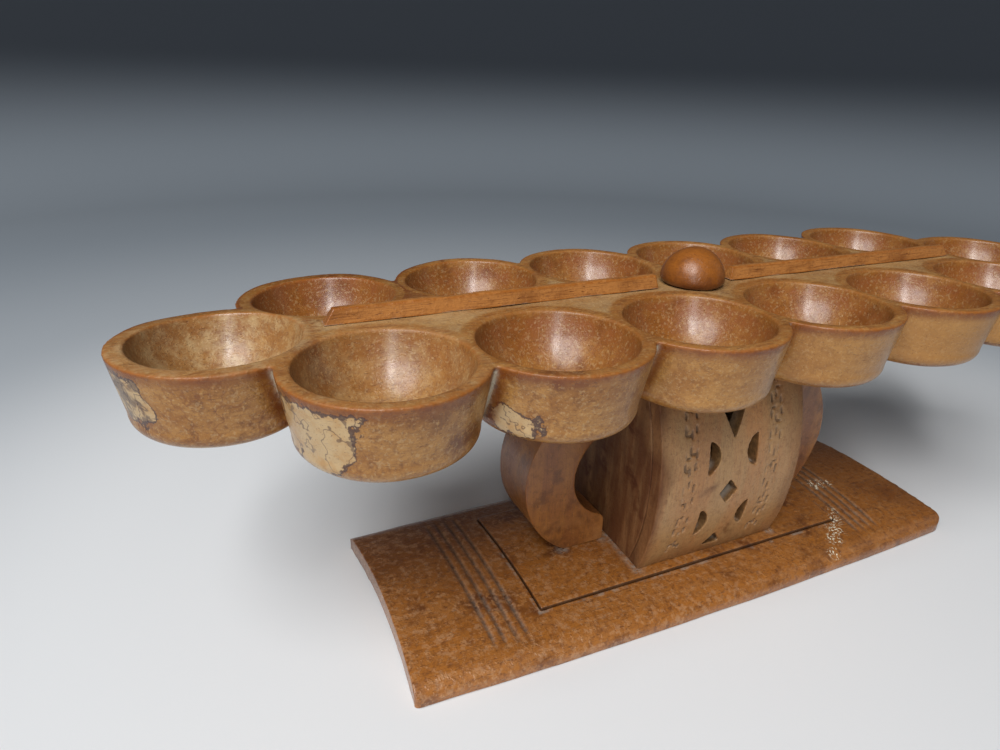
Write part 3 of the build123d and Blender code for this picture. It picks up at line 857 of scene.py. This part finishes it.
class OWARE_OT_base(bpy.types.Operator):
    """Scribe the base and carve the raised panel that is bedded in it"""
    bl_idname = "oware.base"
    bl_label = "Base"

    def execute(self, context):
        size = context.scene.oware_stand
        woods = context.scene.oware_woods
        # Hardwood under thick, uneven varnish: orange brown, blotched and flecked, with a broken gloss.
        finish = varnished_wood(
            "mottled_hardwood_varnished", woods.base, woods.base_pale, woods.base_dark,
            marks=base_marks, wear=0.1, blotch=30.0, mottle=4.0, fleck=3.2, mottling=0.8, clouds=0.42,
            dusty=0.9, streaks=0.35, coat=0.55, coat_rough=0.24, relief=0.2,
        )
        slab = carved_copy("base_slab", size.base_voxel, 1)
        self.round_edges(slab, size)
        self.scribe(slab, size)
        hand_finish(slab, size.waver, 50 * MM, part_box("base_slab"), SEED + 14)
        settle(slab, "base_slab", finish)
        panel = carved_copy("raised_panel", size.base_voxel, 1)
        hand_finish(panel, size.waver * 0.2, 50 * MM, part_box("raised_panel"), SEED + 15, column_dust)
        settle(panel, "raised_panel", finish)
        return {"FINISHED"}

    @staticmethod
    def round_edges(slab, size):
        """Rolls the long edges over, and rounds the corners, the right-hand ones more."""
        points = points_of(slab.data)
        low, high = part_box("base_slab")
        lip = 0.45  # share of the slab's height that is left at the very edge
        for side in (-1, 1):
            out = side * points[:, 1]
            edge = high.y - (high.y - size.corner_y) * (points[:, 0] / high.x) ** 2
            roll = fade(out - edge, -size.roll, 0)
            points[:, 2] = low.z + (points[:, 2] - low.z) * (lip + (1 - lip) * np.sqrt(1 - roll**2))
        for hand, radius in ((-1, size.corner), (1, size.corner * 2.5)):
            for side in (-1, 1):
                x = hand * points[:, 0] - (high.x - radius)
                y = side * points[:, 1] - (size.corner_y - radius)
                away = np.hypot(x, y)
                outer = (x > 0) & (y > 0) & (away > radius)
                pull = np.where(outer, radius / np.maximum(away, radius), 1.0)
                points[:, 0] = np.where(outer, hand * (high.x - radius + x * pull), points[:, 0])
                points[:, 1] = np.where(outer, side * (size.corner_y - radius + y * pull), points[:, 1])
        move_points(slab.data, points)

    @staticmethod
    def scribe(slab, size):
        """Presses the four scribed lines at each end into the slab's top."""
        points = points_of(slab.data)
        top = points[:, 2] > 6 * MM
        inner = fade(np.abs(points[:, 1]), 62 * MM, 48 * MM)
        for x, skew in SCRIBES:
            off = np.abs(points[:, 0] - x * MM - skew * points[:, 1])
            points[:, 2] -= size.scribe_depth * fade(off, size.scribe_width, 0) * top * inner
        move_points(slab.data, points)


def stain_sides(mesh, points):
    """Marks the dark stain on the column's outer sides, fading round the corner, and darkens the column
    towards its foot.
    """
    low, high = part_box("left_column_wall")[0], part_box("right_column_wall")[1]
    inwards = np.minimum(points[:, 0] - low.x, high.x - points[:, 0])
    share = np.where(points[:, 0] < 0, 1.0, 0.5)  # the left side is stained more than the right
    wander = 5 * MM * waves(points, 40 * MM, SEED + 30)
    side = share * fade(inwards + wander, 10.35 * MM, 1.35 * MM)
    # Darker towards the foot, over the lowest 14 mm.
    foot = 0.6 * fade(points[:, 2] - low.z + wander, 14 * MM, 0)
    mark(mesh, "stain", np.maximum(side, foot))
    mark(mesh, "matt", side)


def column_marks(paint, woods):
    """Dark stain on the sides, dirt in the dashes and openings, pale dust on their sills."""
    stain, sunk, deep = (
        paint.add("Attribute", out="Fac", attribute_name=key) for key in ("stain", "sunk", "deep")
    )
    upwards = paint.add("SeparateXYZ", (paint.add("NewGeometry", out="True Normal"),), out=2)
    sill = paint.add("MapRange", (upwards, 0.3, 0.7), **SMOOTH)
    return [
        (woods.column_dark, stain, paint.patches((9.0, 9.0, 60.0), 0.3, 0.6, 0.5, 1.0), 0.88),
        (woods.dirt, sunk, paint.patches(3.0, 0.25, 0.6, 0.55, 1.0, 2.0), 0.6),
        (woods.dust, deep, sill, 0.8),
    ]


def knob_painted_shade(paint, woods):
    """Painted shade: the stopper is darker towards its foot, on the lower sides of its dome."""
    top = BOARD_TOP / MM
    low = paint.add("MapRange", (paint.z, top + 13.0, top + 1.0), **SMOOTH)
    return [(woods.knob_dark, low, paint.patches(9.0, 0.2, 0.6, 0.5, 1.0), 0.75)]


def leg_marks(paint, woods):
    """A patch of fresh orange wood at the foot of each leg, and patches of darker wood."""
    foot = paint.add("MapRange", (paint.z, 48.0, 24.0), **SMOOTH)
    return [
        (woods.base_pale, foot, paint.patches(20.0, 0.4, 0.6), 0.6),
        (woods.leg_dark, paint.patches(12.0, 0.5, 0.7, shift=9.0), 0.6),
    ]


# Scribed lines of the base: where each crosses the middle, in millimetres, and its lean.
SCRIBES = (
    (-145.0, 0.0), (-139.0, 0.0), (-132.2, 0.0), (-126.0, 0.0),
    (124.5, 0.09), (130.5, 0.09), (136.5, 0.09), (142.5, 0.09),
)

# Places where crumbs of wax stick to the base, in millimetres: their middles and radii.
CRUMBS = (
    (132.0, -7.0, 14.0, 5.0), (140.0, -8.0, 14.0, 4.5), (119.0, -35.0, 14.0, 3.0), (113.0, -43.0, 14.0, 4.0),
    (105.0, -50.0, 14.0, 5.0), (97.0, -57.0, 13.0, 4.5), (88.0, -66.0, 10.0, 3.5), (-18.0, -31.0, 14.0, 4.0),
)


def base_marks(paint, woods):
    """Dirt in the scribed lines, painted shade in the gap round the raised panel and dust just outside it,
    darker wood with painted shade at the back left, and a trail of crumbs of wax on the right.
    """
    dirt = None
    for place, skew in SCRIBES:
        middle = paint.add("Math", (paint.y, skew, place), operation="MULTIPLY_ADD")
        off = paint.add("Math", (paint.x, middle), operation="SUBTRACT")
        off = paint.add("Math", (off,), operation="ABSOLUTE")
        line = paint.add("MapRange", (off, 1.6, 0.2), **SMOOTH)
        dirt = line if dirt is None else paint.add("Math", (dirt, line), operation="MAXIMUM")
    across = paint.add("Math", (paint.y,), operation="ABSOLUTE")
    ends = paint.add("MapRange", (across, 63.0, 46.0), **SMOOTH)
    # Distance outwards from the raised panel's outline, in millimetres.
    low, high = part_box("raised_panel")
    middle, half = (low + high) / 2 / MM, (high - low) / 2 / MM
    over = []
    for place, centre, reach in ((paint.x, middle.x, half.x), (paint.y, middle.y, half.y)):
        off = paint.add("Math", (place, centre), operation="SUBTRACT")
        off = paint.add("Math", (off,), operation="ABSOLUTE")
        over.append(paint.add("Math", (off, reach), operation="SUBTRACT"))
    edge = paint.add("Math", over, operation="MAXIMUM")
    off = paint.add("Math", (edge,), operation="ABSOLUTE")
    # Painted shade: a thin dark line in the gap round the raised panel.
    joint_shade = paint.add("MapRange", (off, 0.35, 0.1), **SMOOTH)
    beside = paint.add("MapRange", (edge, 3.0, 1.6), **SMOOTH)
    beyond = paint.add("MapRange", (edge, 0.3, 0.7), **SMOOTH)
    trail = paint.add("MapRange", (nearest_of(paint, CRUMBS), 2.5, -1.0), **SMOOTH)
    left = paint.add("MapRange", (paint.x, -60.0, -150.0), **SMOOTH)
    back = paint.add("MapRange", (paint.y, -30.0, 50.0), **SMOOTH)
    lifted = paint.add("MapRange", (paint.x, 90.0, -40.0, 0.25, 1.0), **SMOOTH)
    return [
        # Darker, redder wood at the back left of the base, deepened with painted shade from the board above
        # it.
        (woods.base_dark, left, back, 0.6),
        (woods.base_fleck, paint.patches(4.2, 0.5, 0.62, detail=4.0, rough=0.7, shift=5.5), lifted, 0.5),
        (woods.base_dark, paint.patches(60.0, 0.5, 0.7, detail=2.0, shift=1.5), 0.5),
        (woods.dirt, dirt, ends, paint.patches(5.0, 0.3, 0.6, 0.4, 1.0, 4.0, 0.7), 0.6),
        (woods.dirt, joint_shade, 0.8),
        (woods.dust, beyond, beside, paint.patches(7.0, 0.45, 0.65, detail=4.0), 0.6),
        (woods.crumb, paint.patches(1.4, 0.56, 0.6, detail=1.0), trail),
    ]


def column_dust(points):
    """Dust that has gathered round the feet of the column and the legs."""
    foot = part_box("raised_panel")[1].z
    feet = []
    for part in ("left_column_wall", "right_column_wall", "left_crescent_leg", "right_crescent_leg",
                 "front_fret_panel", "back_fret_panel"):
        corners = points_of(frame["nodes"][part].data)
        feet.append(corners[corners[:, 2] < foot + 1.5 * MM])
    feet = np.concatenate(feet)
    tree = kdtree.KDTree(len(feet))
    for k, corner in enumerate(feet):
        tree.insert(corner, k)
    tree.balance()
    closest = np.array([tree.find(p)[2] for p in points])
    return fade(closest, 4.62 * MM, 0.42 * MM)


class OWARE_OT_dowels(bpy.types.Operator):
    """Give the hidden dowels their bare wood"""
    bl_idname = "oware.dowels"
    bl_label = "Dowels"

    def execute(self, context):
        woods = context.scene.oware_woods
        # Straight-grained dowel without varnish: pale and matt.
        finish = varnished_wood(
            "straight_grained_dowel_bare", woods.dowel, woods.board_pale, woods.board_dark, grain="Z",
            coat=0.0, blotch=8.0, wear=0.0, dusty=0.0,
        )
        for part in ("board_dowels", "base_dowels", "leg_head_dowels", "leg_foot_dowels"):
            for slot in frame["nodes"][part].material_slots:
                slot.material = finish
        return {"FINISHED"}


class OWARE_OT_stage(bpy.types.Operator):
    """Lay the pale floor, hang the backdrop and set the lamps and the camera"""
    bl_idname = "oware.stage"
    bl_label = "Stage"

    def execute(self, context):
        woods = context.scene.oware_woods
        self.sweep(woods)
        self.lamps()
        self.camera(context)
        world = bpy.data.worlds.new("studio_fill")
        context.scene.world = world
        world.use_nodes = True
        fill = world.node_tree.nodes["Background"].inputs
        fill["Color"].default_value = linear("#c9d0d8")
        fill["Strength"].default_value = 0.06
        context.scene.view_settings.view_transform = "Standard"
        return {"FINISHED"}

    @staticmethod
    def sweep(woods):
        """Round floor that curves up into a backdrop on every side, pale below, with painted shade that
        darkens it away from the middle and higher up.
        """
        flat, curve, tall = 1.35, 0.8, 3.0
        outline = [(flat * t, 0.0) for t in np.linspace(0, 1, 6)]
        outline += [(flat + curve * sin(a), curve - curve * cos(a)) for a in np.linspace(0, pi / 2, 24)[1:]]
        outline += [(flat + curve, z) for z in np.linspace(curve, tall, 6)[1:]]
        segments = 96
        rings = outline[1:]
        vertices = [(0, 0, 0)]
        for radius, z in rings:
            vertices += [(radius * cos(2 * pi * k / segments), radius * sin(2 * pi * k / segments), z)
                         for k in range(segments)]
        faces = [(0, 1 + k, 1 + (k + 1) % segments) for k in range(segments)]
        for r in range(len(rings) - 1):
            low = 1 + r * segments
            for k in range(segments):
                after = (k + 1) % segments
                faces.append((low + k, low + segments + k, low + segments + after, low + after))
        mesh = bpy.data.meshes.new("studio_sweep")
        mesh.from_pydata(vertices, [], faces)
        mesh.shade_smooth()
        floor = bpy.data.objects.new("studio_sweep", mesh)
        bpy.context.scene.collection.objects.link(floor)
        # Heavy matt paper: no gloss at all, and a tooth of 0.8 mm that is just too fine to see.
        paint = Painter("matt_paper_sweep")
        out = paint.add("VectorMath", (paint.place,), out="Value", operation="LENGTH")
        tooth = paint.patches(0.8, 0.2, 0.8, 0.85, 0.95, 2.0, 0.5)
        # Painted shade: the paper darkens away from the middle and higher up, as the light falls off.
        colour = paint.layered(woods.floor, [
            (over, paint.add("MapRange", (place, low, high), **SMOOTH))
            for over, place, low, high in (
                (woods.floor_far, out, 350.0, 680.0),
                (woods.backdrop, out, 480.0, 1150.0),
                (woods.high, paint.z, 15.0, 310.0),
            )
        ])
        paint.finish(colour, tooth, 0.0, tooth, 0.1 * MM)
        mesh.materials.append(paint.material)

    @staticmethod
    def lamps():
        """A broad softbox high on the left, a tall window in two lengths, and a faint one on the right."""
        target = Vector((0, 0, BOARD_TOP * 0.6))
        # Each lamp's place, width and height in metres, its watts, and whether it stands upright.
        for name, place, width, tall, power, upright in (
            ("overhead_softbox", (-1.22, -0.81, 1.96), 1.6, 1.6, 43.0, False),
            ("window_behind_viewer", (-0.9, -1.47, 2.0), 0.36, 1.5, 28.0, True),
            ("window_foot", (-0.9, -1.47, 0.75), 0.3, 1.0, 6.0, True),
            ("window_right", (1.35, -0.38, 0.95), 0.4, 1.3, 0.5, True),
        ):
            data = bpy.data.lights.new(name, "AREA")
            data.shape = "RECTANGLE" if upright else "ELLIPSE"
            data.size, data.size_y, data.energy = width, tall, power
            lamp = bpy.data.objects.new(name, data)
            lamp.location = place
            aim = target - lamp.location
            if upright:
                aim.z = 0
            lamp.rotation_euler = aim.to_track_quat("-Z", "Y").to_euler()
            lamp.visible_camera = False
            bpy.context.scene.collection.objects.link(lamp)

    @staticmethod
    def camera(context):
        """Near view from the front left, a little above the board, tilted by two degrees."""
        data = bpy.data.cameras.new("camera")
        data.lens, data.sensor_width = 25.0, 36.0
        data.clip_start = 0.01
        camera = bpy.data.objects.new("camera", data)
        place = Vector((-0.26384, -0.30133, 0.28660))
        turn, tilt, roll = radians(25.25), radians(23.91), radians(1.95)
        look = Matrix.Rotation(-turn, 3, "Z") @ Matrix.Rotation(pi / 2 - tilt, 3, "X")
        look = (look @ Matrix.Rotation(roll, 3, "Z")).to_4x4()
        camera.matrix_world = Matrix.Translation(place) @ look
        bpy.context.scene.collection.objects.link(camera)
        context.scene.camera = camera


class OWARE_PT_panel(bpy.types.Panel):
    """Sizes, colours and steps of the oware board"""
    bl_idname = "OWARE_PT_panel"
    bl_label = "Oware board"
    bl_space_type = "VIEW_3D"
    bl_region_type = "UI"
    bl_category = "Oware"

    def draw(self, context):
        for operator in OPERATORS:
            self.layout.operator(operator.bl_idname)
        for group in (context.scene.oware_board, context.scene.oware_stand, context.scene.oware_woods):
            column = self.layout.column(align=True)
            for key in group.__annotations__:
                column.prop(group, key)


OPERATORS = (
    OWARE_OT_playing_board, OWARE_OT_ridge_rails, OWARE_OT_stopper_knob, OWARE_OT_fret_panels,
    OWARE_OT_column_walls, OWARE_OT_crescent_legs, OWARE_OT_base, OWARE_OT_dowels, OWARE_OT_stage,
)
GROUPS = {"oware_board": BoardSettings, "oware_stand": StandSettings, "oware_woods": Woods}


def register():
    """Registers every class and hangs the settings on the scene."""
    for kind in (*GROUPS.values(), *OPERATORS, OWARE_PT_panel):
        bpy.utils.register_class(kind)
    for key, group in GROUPS.items():
        setattr(bpy.types.Scene, key, bpy.props.PointerProperty(type=group))


def unregister():
    """Takes everything off again."""
    for key in GROUPS:
        delattr(bpy.types.Scene, key)
    for kind in reversed((*GROUPS.values(), *OPERATORS, OWARE_PT_panel)):
        bpy.utils.unregister_class(kind)


def main():
    """Builds every piece and the stage."""
    register()
    for operator in OPERATORS:
        group, step = operator.bl_idname.split(".")
        getattr(getattr(bpy.ops, group), step)()


if __name__ == "__main__":
    main()
